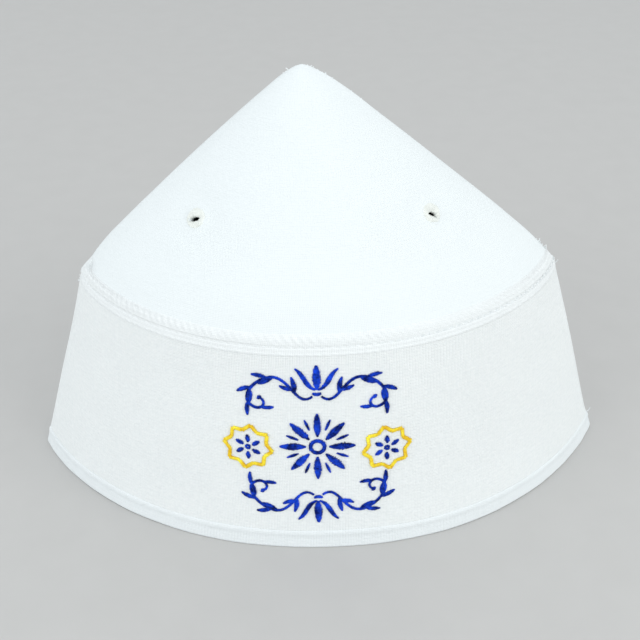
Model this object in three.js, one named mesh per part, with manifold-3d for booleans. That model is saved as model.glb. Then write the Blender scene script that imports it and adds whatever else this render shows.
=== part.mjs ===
// A white cotton fold-flat cap: a tapered band on a narrow hem, a stitched welt, and a pointed crown
// with bound vent eyelets. Every piece is turned as a round section and then drawn out into the
// cap's plan, a lens whose two creases lie left and right, where the cap folds flat.
// Millimetres, +Z up, front towards -Y, origin on the surface under the middle of the rim.
import * as THREE from "three";
import { mergeVertices } from "three/addons/utils/BufferGeometryUtils.js";
import Module from "manifold-3d";

// Plan of the cap, crease to crease and front to back
const RIM_LENGTH = 234.6;
const RIM_DEPTH = 136.2;
const SEAM_LENGTH = 183.4;
const SEAM_DEPTH = 114.6;

// Heights
const BAND_RISE = 84;
const CROWN_RISE = 79;
const HEM_HEIGHT = 8;

// The peak leans this far towards the left crease
const PEAK_LEAN = 5;

// Cloth walls, measured square to the front face
const BAND_WALL = 2.2;
const CROWN_WALL = 1.8;
const HEM_WALL = 2.6;
const WELT_WALL = 2.6;

// How far the hem and the welt stand proud of the cloth beside them
const HEM_PROUD = 0.3;
const WELT_PROUD = 0.6;

// The welt reaches this far below and above the seam line
const WELT_BELOW = 3.4;
const WELT_ABOVE = 4.4;

// Vent eyelets: a pair in the front of the crown and a pair in the back
const EYELET_SPAN = 83;
const EYELET_RISE = 32.6;
const EYELET_BORE = 3.6;
const EYELET_OUTER = 7.6;
const EYELET_BARREL_WALL = 0.9;
const EYELET_FLANGE = 0.7;

// Clearance between neighbouring pieces
const GAP = 0.3;

// Fineness of the facets
const SIDES_ROUND_CAP = 72;
const BAND_STEPS = 5;
const EYELET_SIDES = 16;

// The plan follows |x / half length| ^ LENGTH_POWER + |y / half depth| ^ depth power = 1, and a
// depth power near 1 draws its two ends out into creases.
const LENGTH_POWER = 2.14;
const RIM_DEPTH_POWER = 1.21;
const SEAM_DEPTH_POWER = 1.36;

// Shape of the crown from the seam to the peak: inward is the share of the seam's half depth that
// the face has drawn in, rise the share of the crown's height there. It starts with a steep
// shoulder, runs on nearly straight, and ends in a small rounded peak.
const CROWN_SHAPE = [
  { inward: 0, rise: 0 },
  { inward: 0.04, rise: 0.056 },
  { inward: 0.08, rise: 0.11 },
  { inward: 0.2, rise: 0.245 },
  { inward: 0.35, rise: 0.405 },
  { inward: 0.52, rise: 0.58 },
  { inward: 0.7, rise: 0.755 },
  { inward: 0.84, rise: 0.885 },
  { inward: 0.93, rise: 0.963 },
  { inward: 0.97, rise: 0.989 },
  { inward: 1, rise: 1 },
];

// Section of the welt, from its lower edge to its upper one: up is the share of its height, out
// the share of WELT_PROUD that it stands out of the cloth or, below zero, is sunk into it.
const WELT_SHAPE = [
  { up: 0, out: 0.2 },
  { up: 0.05, out: 0.9 },
  { up: 0.12, out: 0.9 },
  { up: 0.18, out: 0 },
  { up: 0.33, out: 0 },
  { up: 0.38, out: -0.9 },
  { up: 0.51, out: -0.9 },
  { up: 0.56, out: 0 },
  { up: 0.7, out: 0.1 },
  { up: 0.77, out: 1 },
  { up: 0.92, out: 1 },
  { up: 1, out: 0.1 },
];

const wasm = await Module();
wasm.setup();

// Share of the way from the rim up to the seam, held at 1 above the seam.
function bandShare(z) {
  return Math.min(z / BAND_RISE, 1);
}

// Share of the way from the seam up to the peak, held at 0 below the seam.
function crownShare(z) {
  return THREE.MathUtils.clamp((z - BAND_RISE) / CROWN_RISE, 0, 1);
}

// The share that the crown has drawn in at a share of its rise, straight between the rows.
function inwardAt(rise) {
  const above = CROWN_SHAPE.findIndex((row, index) => index > 0 && row.rise >= rise);
  const low = CROWN_SHAPE[above - 1];
  const high = CROWN_SHAPE[above];
  return THREE.MathUtils.mapLinear(rise, low.rise, high.rise, low.inward, high.inward);
}

// Distance from the axis to the cap's outer face, measured straight towards the front.
function frontFace(z) {
  const upToSeam = THREE.MathUtils.lerp(RIM_DEPTH / 2, SEAM_DEPTH / 2, bandShare(z));
  return upToSeam * (1 - inwardAt(crownShare(z)));
}

// The crown's inner shell has the shape of its outer one, drawn in by the wall. The slant of the
// face makes the wall wider when it is measured straight across, and straight up.
const CROWN_SLANT = Math.hypot(SEAM_DEPTH / 2, CROWN_RISE);
const INNER_CROWN_DEPTH = SEAM_DEPTH / 2 - (CROWN_WALL * CROWN_SLANT) / CROWN_RISE;
const INNER_CROWN_RISE = CROWN_RISE - (CROWN_WALL * CROWN_SLANT) / (SEAM_DEPTH / 2);

// Distance from the axis to the crown's inner face, measured straight towards the front.
function innerCrownFace(z) {
  return INNER_CROWN_DEPTH * (1 - inwardAt((z - BAND_RISE) / INNER_CROWN_RISE));
}

// A signed power, so that a section keeps its four quarters.
function signedPower(value, power) {
  return Math.sign(value) * Math.abs(value) ** power;
}

// The point of the cap at an angle round the plan, a distance from the axis towards the front, and
// a height: the circle of that radius is drawn out into the lens and leans with the crown.
function capPoint(angle, radius, z) {
  const share = bandShare(z);
  const rimStretch = RIM_LENGTH / RIM_DEPTH;
  const seamStretch = SEAM_LENGTH / SEAM_DEPTH;
  const stretch = THREE.MathUtils.lerp(rimStretch, seamStretch, share);
  const depthPower = THREE.MathUtils.lerp(RIM_DEPTH_POWER, SEAM_DEPTH_POWER, share);
  const lean = -PEAK_LEAN * crownShare(z);
  return new THREE.Vector3(
    radius * stretch * signedPower(Math.cos(angle), 2 / LENGTH_POWER) + lean,
    radius * signedPower(Math.sin(angle), 2 / depthPower),
    z,
  );
}

// Turns a profile of [distance from the axis, height] rows about the upright axis and draws it out
// into the cap's plan.
function turnedPiece(rows) {
  const profile = rows.map(([radius, z]) => new THREE.Vector2(radius, z));
  const geometry = new THREE.LatheGeometry(profile, SIDES_ROUND_CAP);
  geometry.rotateX(Math.PI / 2);
  const places = geometry.getAttribute("position");
  const place = new THREE.Vector3();
  for (let i = 0; i < places.count; i += 1) {
    place.fromBufferAttribute(places, i);
    const angle = Math.atan2(place.y, place.x);
    const moved = capPoint(angle, Math.hypot(place.x, place.y), place.z);
    places.setXYZ(i, moved.x, moved.y, moved.z);
  }
  return welded(geometry);
}

// A geometry with positions alone and its shared vertices merged.
function welded(geometry) {
  geometry.deleteAttribute("normal");
  geometry.deleteAttribute("uv");
  return mergeVertices(geometry, 1e-3);
}

// Closed profile of an upright wall of the band between two heights. It stands proud of the
// band's face by a set amount and has the two outer edges eased.
function wallProfile(bottom, top, proud, wall, steps) {
  const easing = wall / 6;
  const outer = [];
  for (let step = 0; step <= steps; step += 1) {
    const z = THREE.MathUtils.lerp(bottom + easing, top - easing, step / steps);
    outer.push([frontFace(z) + proud, z]);
  }
  const inner = [];
  for (let step = steps; step >= 0; step -= 1) {
    const z = THREE.MathUtils.lerp(bottom, top, step / steps);
    inner.push([frontFace(z) + proud - wall, z]);
  }
  const lowerEdge = [frontFace(bottom) + proud - easing, bottom];
  const upperEdge = [frontFace(top) + proud - easing, top];
  return [lowerEdge, ...outer, upperEdge, ...inner, lowerEdge];
}

// Closed profile of the welt that covers the seam of the band and the crown.
function weltProfile() {
  const bottom = BAND_RISE - WELT_BELOW;
  const top = BAND_RISE + WELT_ABOVE;
  const outer = WELT_SHAPE.map((row) => {
    const z = THREE.MathUtils.lerp(bottom, top, row.up);
    return [frontFace(z) + WELT_PROUD * row.out, z];
  });
  const inner = [top, BAND_RISE, bottom].map((z) => [frontFace(z) - WELT_WALL, z]);
  return [...outer, ...inner, outer[0]];
}

// The rows of one face of the crown above its lower edge, up to its peak on the axis.
function crownRows(halfDepth, rise, bottom) {
  const rows = CROWN_SHAPE.map((row) => [halfDepth * (1 - row.inward), BAND_RISE + rise * row.rise]);
  return rows.filter(([, z]) => z > bottom + GAP);
}

// Profile of the crown's shell, from the axis down its inner face, round its lower edge and up
// its outer face to the peak.
function crownProfile() {
  const bottom = BAND_RISE + WELT_ABOVE + GAP;
  const inner = crownRows(INNER_CROWN_DEPTH, INNER_CROWN_RISE, bottom);
  const outer = crownRows(SEAM_DEPTH / 2, CROWN_RISE, bottom);
  return [...inner.reverse(), [innerCrownFace(bottom), bottom], [frontFace(bottom), bottom], ...outer];
}

// A closed geometry as a manifold solid.
function solidOf(geometry) {
  return new wasm.Manifold(
    new wasm.Mesh({
      numProp: 3,
      vertProperties: new Float32Array(geometry.getAttribute("position").array),
      triVerts: new Uint32Array(geometry.index.array),
    }),
  );
}

// A manifold solid as a three.js geometry.
function geometryOf(solid) {
  const mesh = solid.getMesh();
  const geometry = new THREE.BufferGeometry();
  geometry.setAttribute("position", new THREE.BufferAttribute(mesh.vertProperties, mesh.numProp));
  geometry.setIndex(new THREE.BufferAttribute(mesh.triVerts, 1));
  return geometry;
}

// Where an eyelet sits in the crown: the thickness of the cloth there, the middle of it, and the
// turn that takes +Y to the outward normal. side is -1 for the left one and 1 for the right, face
// is -1 for the front.
function eyeletSeat(side, face) {
  const z = BAND_RISE + EYELET_RISE;
  const radius = frontFace(z);
  const across = EYELET_SPAN / 2 / ((radius * SEAM_LENGTH) / SEAM_DEPTH);
  const angle = face * Math.acos(side * Math.min(across, 1) ** (LENGTH_POWER / 2));
  const step = 0.01;
  const here = capPoint(angle, radius, z);
  const along = capPoint(angle + step, radius, z).sub(here);
  const upward = capPoint(angle, frontFace(z + step), z + step).sub(here);
  const outward = along.cross(upward).normalize();
  const within = capPoint(angle, innerCrownFace(z), z).sub(here);
  const thickness = -within.dot(outward);
  const position = here.addScaledVector(outward, -thickness / 2);
  const turn = new THREE.Quaternion().setFromUnitVectors(new THREE.Vector3(0, 1, 0), outward);
  return { thickness, position, turn };
}

// A bound eyelet: a barrel through cloth of that thickness with a flat flange on each face of it.
function eyeletGeometry(thickness) {
  const bore = EYELET_BORE / 2;
  const barrel = bore + EYELET_BARREL_WALL;
  const flange = EYELET_OUTER / 2;
  const cloth = thickness / 2 + GAP;
  const face = cloth + EYELET_FLANGE;
  const easing = EYELET_FLANGE / 2;
  const rows = [
    [bore, -face + easing],
    [bore + easing, -face],
    [flange - easing, -face],
    [flange, -cloth],
    [barrel, -cloth],
    [barrel, cloth],
    [flange, cloth],
    [flange - easing, face],
    [bore + easing, face],
    [bore, face - easing],
    [bore, -face + easing],
  ];
  const profile = rows.map(([radius, height]) => new THREE.Vector2(radius, height));
  return welded(new THREE.LatheGeometry(profile, EYELET_SIDES));
}

// The crown's shell with a hole for each eyelet's barrel.
function crownGeometry(seats) {
  const holeRadius = EYELET_BORE / 2 + EYELET_BARREL_WALL + GAP;
  const holeLength = CROWN_WALL * 4;
  let shell = solidOf(turnedPiece(crownProfile()));
  for (const seat of seats) {
    const drill = new THREE.CylinderGeometry(holeRadius, holeRadius, holeLength, EYELET_SIDES);
    drill.applyQuaternion(seat.turn);
    drill.translate(...seat.position);
    shell = shell.subtract(solidOf(welded(drill)));
  }
  return geometryOf(shell);
}

// A cloth or thread material.
function cloth(colour, roughness) {
  return new THREE.MeshStandardMaterial({ color: colour, roughness, metalness: 0 });
}

// A named mesh in the cap's frame.
function piece(name, geometry, material) {
  const mesh = new THREE.Mesh(geometry, material);
  mesh.name = name;
  return mesh;
}

const bandBottom = HEM_HEIGHT + GAP;
const bandTop = BAND_RISE - WELT_BELOW - GAP;

const seats = {
  eyelet_front_left: eyeletSeat(-1, -1),
  eyelet_front_right: eyeletSeat(1, -1),
  eyelet_back_left: eyeletSeat(-1, 1),
  eyelet_back_right: eyeletSeat(1, 1),
};

const hem = turnedPiece(wallProfile(0, HEM_HEIGHT, HEM_PROUD, HEM_WALL, 1));
const band = turnedPiece(wallProfile(bandBottom, bandTop, 0, BAND_WALL, BAND_STEPS));
const welt = turnedPiece(weltProfile());
const crown = crownGeometry(Object.values(seats));

const cap = new THREE.Group();
cap.add(piece("hem", hem, cloth(0xe7f0f3, 0.9)));
cap.add(piece("band", band, cloth(0xedf3f4, 0.92)));
cap.add(piece("seam_welt", welt, cloth(0xeef5f6, 0.9)));
cap.add(piece("crown", crown, cloth(0xf5fbfc, 0.92)));
for (const [name, seat] of Object.entries(seats)) {
  const eyelet = piece(name, eyeletGeometry(seat.thickness), cloth(0xe9ece8, 0.75));
  eyelet.position.copy(seat.position);
  eyelet.quaternion.copy(seat.turn);
  cap.add(eyelet);
}

export default cap;
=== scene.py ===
"""A white cotton fold-flat cap, dressed for its picture.

The cloth, the seams, the bound vents and the embroidery are surfaces worked out with numpy on the
cap's own form: a lens-shaped plan with a crease at each end, tapering up the band to the seam and
closing in a pointed crown. Lengths are metres, +Z is up and the front faces -Y.
"""
import logging
import math
from collections.abc import Sequence
from dataclasses import astuple, dataclass, field
from enum import Enum
from functools import cached_property

import bmesh
import bpy
import numpy as np
from mathutils import Matrix, Vector
from numpy.typing import NDArray


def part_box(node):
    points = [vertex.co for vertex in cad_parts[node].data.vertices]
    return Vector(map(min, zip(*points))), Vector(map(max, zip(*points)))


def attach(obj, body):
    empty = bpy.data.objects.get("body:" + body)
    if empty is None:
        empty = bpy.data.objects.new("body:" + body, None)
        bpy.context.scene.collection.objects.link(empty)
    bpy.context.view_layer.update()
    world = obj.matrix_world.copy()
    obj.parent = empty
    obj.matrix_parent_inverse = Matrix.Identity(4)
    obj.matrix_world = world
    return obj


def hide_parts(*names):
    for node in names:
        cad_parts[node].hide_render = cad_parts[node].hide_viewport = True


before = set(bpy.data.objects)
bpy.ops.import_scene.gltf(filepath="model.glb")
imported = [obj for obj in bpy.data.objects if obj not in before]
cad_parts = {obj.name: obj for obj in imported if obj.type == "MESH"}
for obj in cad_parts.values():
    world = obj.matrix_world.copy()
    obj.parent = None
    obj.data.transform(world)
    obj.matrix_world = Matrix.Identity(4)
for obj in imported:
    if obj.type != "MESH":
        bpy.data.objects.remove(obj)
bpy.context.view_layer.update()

Array = NDArray[np.float64]
Indices = NDArray[np.int64]
Triple = tuple[float, float, float]
Colour = Triple
log = logging.getLogger("songkok")

MM = 0.001
BODY = "root"
UV_NAME = "cloth"
RNG_SEED = 11
# Places nearer to each other than this are welded into one.
WELD_DISTANCE = 1e-7
# Step of angle or level over which the slopes of the face are measured.
SLOPE_STEP = 1e-3
# Cloth coordinates move on by this from thread to thread, so that no two threads look alike.
THREAD_SHIFT = 5.37 * MM


class Side(Enum):
    """A half of the cap, by the angle round the plan at which it starts."""

    FRONT = math.pi
    BACK = 0.0


# Small formulas


def signed_power(value: Array, power: Array | float) -> Array:
    """Raises a value's size to a power and keeps its sign.

    Args:
        value: The values.
        power: The power, one for all or one for each value.

    Returns:
        The signed powers.
    """
    return np.sign(value) * np.abs(value) ** power


def bump(offset: Array) -> Array:
    """A smooth hump, (1 - t squared) squared, that is 1 at 0 and 0 from 1 outwards."""
    return np.clip(1 - offset**2, 0, None) ** 2


def smooth_step(share: Array) -> Array:
    """Eases a share from 0 to 1 with level ends: its square times (3 - 2 share)."""
    return share * share * (3 - 2 * share)


def between(start: Array | float, end: Array | float, share: Array) -> Array:
    """The value a share of the way from a start to an end: start + (end - start) share."""
    return start + (end - start) * share


def unit(vector: Array) -> Array:
    """Vectors on the last axis, made 1 long."""
    return vector / np.linalg.norm(vector, axis=-1, keepdims=True)


def circle(turn: Array | float, axis: int = -1) -> Array:
    """Points of the circle of radius 1: the cosine and the sine of a turn, on an axis of their own."""
    return np.stack([np.cos(turn), np.sin(turn)], axis)


def middles(length: float, count: int) -> Array:
    """Middles of a number of equal stretches of a length."""
    return (np.arange(count) + 0.5) * length / count


def smooth_table(at: Array, table: Sequence[tuple[float, float]]) -> Array:
    """Reads a table of rows as a smooth curve through them.

    A cubic on each stretch takes its two end slopes from the rows on either side, so that the
    curve has no corner at a row.

    Args:
        at: Where the curve is read.
        table: Rows of place and value, in rising order of place.

    Returns:
        The curve's values.
    """
    places, values = np.array(table).T
    slopes = np.gradient(values, places)
    low = np.clip(np.searchsorted(places, at, side="right") - 1, 0, len(places) - 2)
    width = places[low + 1] - places[low]
    share = (at - places[low]) / width
    rest = 1 - share
    ends = values[low] * (1 + 2 * share) * rest**2 + values[low + 1] * (3 - 2 * share) * share**2
    return ends + width * share * rest * (slopes[low] * rest - slopes[low + 1] * share)


# The cap's form


@dataclass(frozen=True)
class Dent:
    """A soft swelling or hollow of the cloth.

    Attributes:
        angle: Its middle round the plan, in degrees from the right crease.
        level: Its middle up the cap.
        reach_round: How far it reaches round the plan, in degrees.
        reach_up: How far it reaches in level.
        depth: How far it stands out, or in where negative.
    """

    angle: float
    level: float
    reach_round: float
    reach_up: float
    depth: float


@dataclass(frozen=True)
class CapShape:
    """The cap's outer face as a formula.

    A point is named by its angle round the plan, in radians from the right crease by way of the
    back, and by its level: 0 at the rim, 1 at the seam and 2 at the peak. The plan at a level is
    |x / half length| ^ length power + |y / half depth| ^ depth power = 1.

    Attributes:
        rim_length: Length of the plan at the rim, from crease to crease.
        rim_depth: Its depth at the rim, from front to back.
        crown_top: Height of the peak.
        seam_length: Length of the plan at the seam.
        seam_depth: Its depth at the seam.
        band_rise: Height of the seam.
        length_power: Power of the plan's length.
        rim_depth_power: Power of its depth at the rim.
        seam_depth_power: Power of its depth at the seam.
        peak_lean: How far the peak leans to the left.
        seam_sag: How far the seam sags at the most.
        sag_angle: Where it sags most, in degrees round the plan.
        sag_reach: How far from there it sags at all, in degrees.
        pressed: Share of a seam's relief that is left at the creases.
        pressed_reach: Sine of the angle from which on the relief is whole.
        peak_fade: Distance in level under the peak over which the dents fade out.
        crown_rows: Rows of a share of the way in to the peak and the share of the rise there.
        dents: The dents in the cloth.
    """

    rim_length: float
    rim_depth: float
    crown_top: float
    seam_length: float = 183.4 * MM
    seam_depth: float = 114.6 * MM
    band_rise: float = 84 * MM
    length_power: float = 2.14
    rim_depth_power: float = 1.21
    seam_depth_power: float = 1.36
    peak_lean: float = 5 * MM
    seam_sag: float = 0.9 * MM
    sag_angle: float = 236.0
    sag_reach: float = 80.0
    pressed: float = 0.2
    pressed_reach: float = 0.42
    peak_fade: float = 0.1
    crown_rows: tuple[tuple[float, float], ...] = (
        (0, 0),
        (0.04, 0.056),
        (0.08, 0.11),
        (0.2, 0.245),
        (0.35, 0.405),
        (0.52, 0.58),
        (0.7, 0.755),
        (0.84, 0.885),
        (0.93, 0.963),
        (0.97, 0.989),
        (1, 1),
    )
    dents: tuple[Dent, ...] = (
        Dent(180, 1.55, 30, 0.62, -0.6 * MM),
        Dent(180, 0.8, 26, 0.4, -0.5 * MM),
        Dent(180, 1.05, 24, 0.12, -0.4 * MM),
        Dent(182, 1.035, 20, 0.021, -2.3 * MM),
        Dent(182, 1.008, 20, 0.02, 0.4 * MM),
        Dent(0, 0.6, 24, 0.5, 0.6 * MM),
        Dent(0, 0.02, 16, 0.13, 0.5 * MM),
        Dent(0, 1.84, 40, 0.13, 0.4 * MM),
        Dent(0, 1.5, 30, 0.3, -0.5 * MM),
        Dent(306, 0.0, 40, 0.3, 1.0 * MM),
        Dent(226, 0.0, 34, 0.3, 0.7 * MM),
        Dent(232, 1.3, 26, 0.3, -0.7 * MM),
        Dent(282, 1.42, 24, 0.34, 0.6 * MM),
        Dent(318, 1.24, 24, 0.24, -0.6 * MM),
        Dent(262, 1.14, 30, 0.16, 0.5 * MM),
        Dent(214, 0.35, 20, 0.4, 0.5 * MM),
        Dent(305, 0.45, 24, 0.45, -0.5 * MM),
        Dent(250, 0.78, 26, 0.3, -0.4 * MM),
        Dent(80, 0.55, 40, 0.5, -0.8 * MM),
        Dent(120, 1.35, 30, 0.4, 0.8 * MM),
        Dent(55, 1.3, 26, 0.3, -0.7 * MM),
    )

    @classmethod
    def from_frame(cls) -> "CapShape":
        """Takes the rim and the peak from the hem and the crown of the frame.

        Returns:
            The cap's form.
        """
        hem_proud = 0.3 * MM
        low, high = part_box("hem")
        depth = (high.y - low.y) - 2 * hem_proud
        stretch = (high.x - low.x) / (high.y - low.y)
        return cls(rim_length=depth * stretch, rim_depth=depth, crown_top=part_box("crown")[1].z)

    @property
    def crown_rise(self) -> float:
        """Height of the peak above the seam."""
        return self.crown_top - self.band_rise

    @property
    def band_slant(self) -> float:
        """Length of the band's face from the rim up to the seam, at the front."""
        return math.hypot(self.band_rise, (self.rim_depth - self.seam_depth) / 2)

    @property
    def crown_slant(self) -> float:
        """Length of the straight line from the seam up to the peak, at the front."""
        return math.hypot(self.seam_depth / 2, self.crown_rise)

    def bare(self, angle: Array, level: Array, wall: float | Array = 0.0) -> Array:
        """The cap's face before its dents.

        The front half depth at the level, less the wall, is stretched to the plan's length: x is
        that radius times the stretch times cos(angle) to the power 2 / length power, y the radius
        times sin(angle) to the power 2 / depth power.

        Args:
            angle: Angles round the plan.
            level: Levels up the cap.
            wall: How far inside the outer face the point lies.

        Returns:
            Places, with the last axis X, Y, Z.
        """
        angle, level, wall = np.broadcast_arrays(*(np.asarray(a, float) for a in (angle, level, wall)))
        share, inward = np.clip(level, 0, 1), np.clip(level - 1, 0, 1)
        half_depth = between(self.rim_depth, self.seam_depth, share) / 2 - wall
        stretch = between(self.rim_length / self.rim_depth, self.seam_length / self.seam_depth, share)
        depth_power = between(self.rim_depth_power, self.seam_depth_power, share)
        rise = smooth_table(inward, self.crown_rows)
        radius = half_depth * (1 - inward)
        lift = self.crown_slant / (self.seam_depth / 2)
        x = radius * stretch * signed_power(np.cos(angle), 2 / self.length_power) - self.peak_lean * rise
        y = radius * signed_power(np.sin(angle), 2 / depth_power)
        z = self.band_rise * share + (self.crown_rise - wall * lift) * rise
        return np.stack([x, y, z], -1)

    def normal(self, angle: Array, level: Array) -> Array:
        """Outward normals: the cross product of a step round the bare face and one up it.

        Near the peak, where a step round vanishes, they are those of a level just under it.

        Args:
            angle: Angles round the plan.
            level: Levels up the cap.

        Returns:
            Directions of length 1, with the last axis X, Y, Z.
        """
        level = np.clip(level, 0, 2 - 10 * SLOPE_STEP)
        lower = np.clip(level - SLOPE_STEP, 0, None)
        round_step = self.bare(angle + SLOPE_STEP, level) - self.bare(angle - SLOPE_STEP, level)
        up_step = self.bare(angle, level + SLOPE_STEP) - self.bare(angle, lower)
        return unit(np.cross(round_step, up_step))

    def slack(self, angle: Array, level: Array) -> Array:
        """How far the dents push the cloth out at a point: the sum of their smooth humps.

        Args:
            angle: Angles round the plan.
            level: Levels up the cap.

        Returns:
            Distances along the normals.
        """
        degrees = np.degrees(angle)
        total = np.zeros(np.broadcast(angle, level).shape)
        for dent in self.dents:
            away = (degrees - dent.angle + 180) % 360 - 180
            up = (level - dent.level) / dent.reach_up
            total += dent.depth * bump(np.hypot(away / dent.reach_round, up))
        return total * np.clip((2 - level) / self.peak_fade, 0, 1)

    def face(
        self,
        angle: Array,
        level: Array,
        proud: float | Array = 0.0,
        wall: float | Array = 0.0,
    ) -> Array:
        """The cap's face with its dents.

        Args:
            angle: Angles round the plan.
            level: Levels up the cap.
            proud: How far the point stands out of the face along its normal.
            wall: How far inside the outer face the point lies.

        Returns:
            Places, with the last axis X, Y, Z.
        """
        out = self.slack(angle, level) + proud
        return self.bare(angle, level, wall) + self.normal(angle, level) * out[..., None]

    def let_out(self, angle: Array) -> Array:
        """How fully a seam's relief stands out: least at the creases, where the cap is pressed."""
        share = np.clip(np.abs(np.sin(angle)) / self.pressed_reach, 0, 1)
        return between(self.pressed, 1, smooth_step(share))

    def sagging(self, angle: Array) -> Array:
        """How fully the seam sags: wholly at one angle, and less and less away from it."""
        return bump((np.degrees(angle) - self.sag_angle) / self.sag_reach)

    def seam_level(self, height: Array, angle: Array) -> Array:
        """Level of a point near the seam, which sags a little at the left of the front.

        Args:
            height: Its height above the seam line, along the cap's face.
            angle: Its angle round the plan.

        Returns:
            Its level.
        """
        above = height - self.seam_sag * self.sagging(angle)
        return 1 + np.where(above < 0, above / self.band_slant, above / self.crown_slant)

    def angles(self, side: Side, count: int) -> Array:
        """Angles of evenly spaced columns round one half, from crease to crease.

        Args:
            side: The half of the cap.
            count: How many spaces lie between the columns.

        Returns:
            count + 1 angles, equal lengths apart half way up the band.
        """
        fine = np.linspace(side.value, side.value + math.pi, 4001)
        length = travelled(self.bare(fine, 0.5))
        return np.interp(np.linspace(0, length[-1], count + 1), length, fine)

    def front_angle(self, x: Array, level: Array) -> Array:
        """The angle on the front of the band at which the face has a given x.

        It is the arc cosine of x over the plan's half length, to the power length power / 2.

        Args:
            x: The places' X.
            level: Their levels.

        Returns:
            The angles.
        """
        half = between(self.rim_length, self.seam_length, np.clip(level, 0, 1)) / 2
        return math.tau - np.arccos(signed_power(np.clip(x / half, -1, 1), self.length_power / 2))


# Grids and threads as meshes


def travelled(path: Array) -> Array:
    """Distance travelled along a path of places, from 0 at its start: the sum of its steps.

    Args:
        path: Places, with the path on the last axis but one and their coordinates on the last.

    Returns:
        The distances, with the path's shape less its last axis.
    """
    steps = np.linalg.norm(np.diff(path, axis=-2), axis=-1)
    return np.insert(np.cumsum(steps, axis=-1), 0, 0, axis=-1)


@dataclass
class Patchwork:
    """Grids of places that are welded into one mesh.

    A grid has rows and columns, and its faces point along (column step) x (row step). Grids that
    share an edge repeat its places, and the weld joins them.

    Attributes:
        places: Each grid's places.
        faces: Its faces, as the numbers of their four places.
        corners: The cloth coordinates at the faces' corners.
        count: How many places there are so far.
    """

    places: list[Array] = field(default_factory=list)
    faces: list[Indices] = field(default_factory=list)
    corners: list[Array] = field(default_factory=list)
    count: int = 0

    def add(self, grid: Array, uv: Array, kept: NDArray[np.bool_] | None = None) -> None:
        """Adds a grid, or a batch of grids of one size.

        Args:
            grid: Places of shape (..., rows, columns, 3).
            uv: Their cloth coordinates in metres, of shape (..., rows, columns, 2).
            kept: Which faces of a single grid are kept, or None for all.
        """
        rows, columns = grid.shape[-3:-1]
        index = np.arange(grid.size // 3).reshape(-1, rows, columns)
        around = [index[:, :-1, :-1], index[:, :-1, 1:], index[:, 1:, 1:], index[:, 1:, :-1]]
        quads = np.stack(around, -1).reshape(-1, 4)
        if kept is not None:
            quads = quads[kept.ravel()]
        self.places.append(grid.reshape(-1, 3))
        self.corners.append(np.broadcast_to(uv, (*grid.shape[:-1], 2)).reshape(-1, 2)[quads])
        self.faces.append(quads + self.count)
        self.count += grid.size // 3

    def mesh(self, name: str) -> bpy.types.Mesh:
        """Welds the grids into a smooth mesh.

        Args:
            name: The mesh's name.

        Returns:
            The mesh, with its cloth coordinates as a UV map.
        """
        places, faces = np.concatenate(self.places), np.concatenate(self.faces)
        mesh = bpy.data.meshes.new(name)
        mesh.vertices.add(len(places))
        mesh.vertices.foreach_set("co", places.ravel())
        mesh.loops.add(faces.size)
        mesh.loops.foreach_set("vertex_index", faces.ravel())
        mesh.polygons.add(len(faces))
        mesh.polygons.foreach_set("loop_start", np.arange(0, faces.size, 4))
        mesh.uv_layers.new(name=UV_NAME).uv.foreach_set("vector", np.concatenate(self.corners).ravel())
        mesh.update(calc_edges=True)
        welded = bmesh.new()
        welded.from_mesh(mesh)
        bmesh.ops.remove_doubles(welded, verts=welded.verts, dist=WELD_DISTANCE)
        welded.to_mesh(mesh)
        welded.free()
        mesh.polygons.foreach_set("use_smooth", np.ones(len(mesh.polygons), bool))
        mesh.update()
        return mesh


def tubes(paths: Array, normals: Array, radius: Array, flat: float, sides: int) -> tuple[Array, Array]:
    """Closed threads that follow a batch of paths.

    Round each path point runs the ellipse radius (cos t side + flat sin t normal), where side is
    the normal crossed with the path's direction. A radius of 0 at an end closes it.

    Args:
        paths: Places of shape (threads, points, 3).
        normals: Directions that lie across the paths, of the same shape.
        radius: Radii of shape (threads, points), or (points) where the threads are alike.
        flat: Share of the radius that the thread keeps along its normal.
        sides: How many sides a thread has.

    Returns:
        Grids of shape (threads, points, sides + 1, 3), and their coordinates along and round.
    """
    along = unit(np.gradient(paths, axis=1))
    side = unit(np.cross(normals, along))
    up = np.cross(along, side)
    turn = np.linspace(0, math.tau, sides + 1)
    turn[-1] = turn[0]
    across = np.cos(turn)[:, None] * side[:, :, None] + flat * np.sin(turn)[:, None] * up[:, :, None]
    grid = paths[:, :, None] + radius[..., None, None] * across
    length = travelled(paths) + THREAD_SHIFT * np.arange(len(paths))[:, None]
    share = np.broadcast_to(np.linspace(0, 1, sides + 1) * MM, grid.shape[:-1])
    return grid, np.stack([np.broadcast_to(length[..., None], grid.shape[:-1]), share], -1)


# Shader values and nodes


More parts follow.
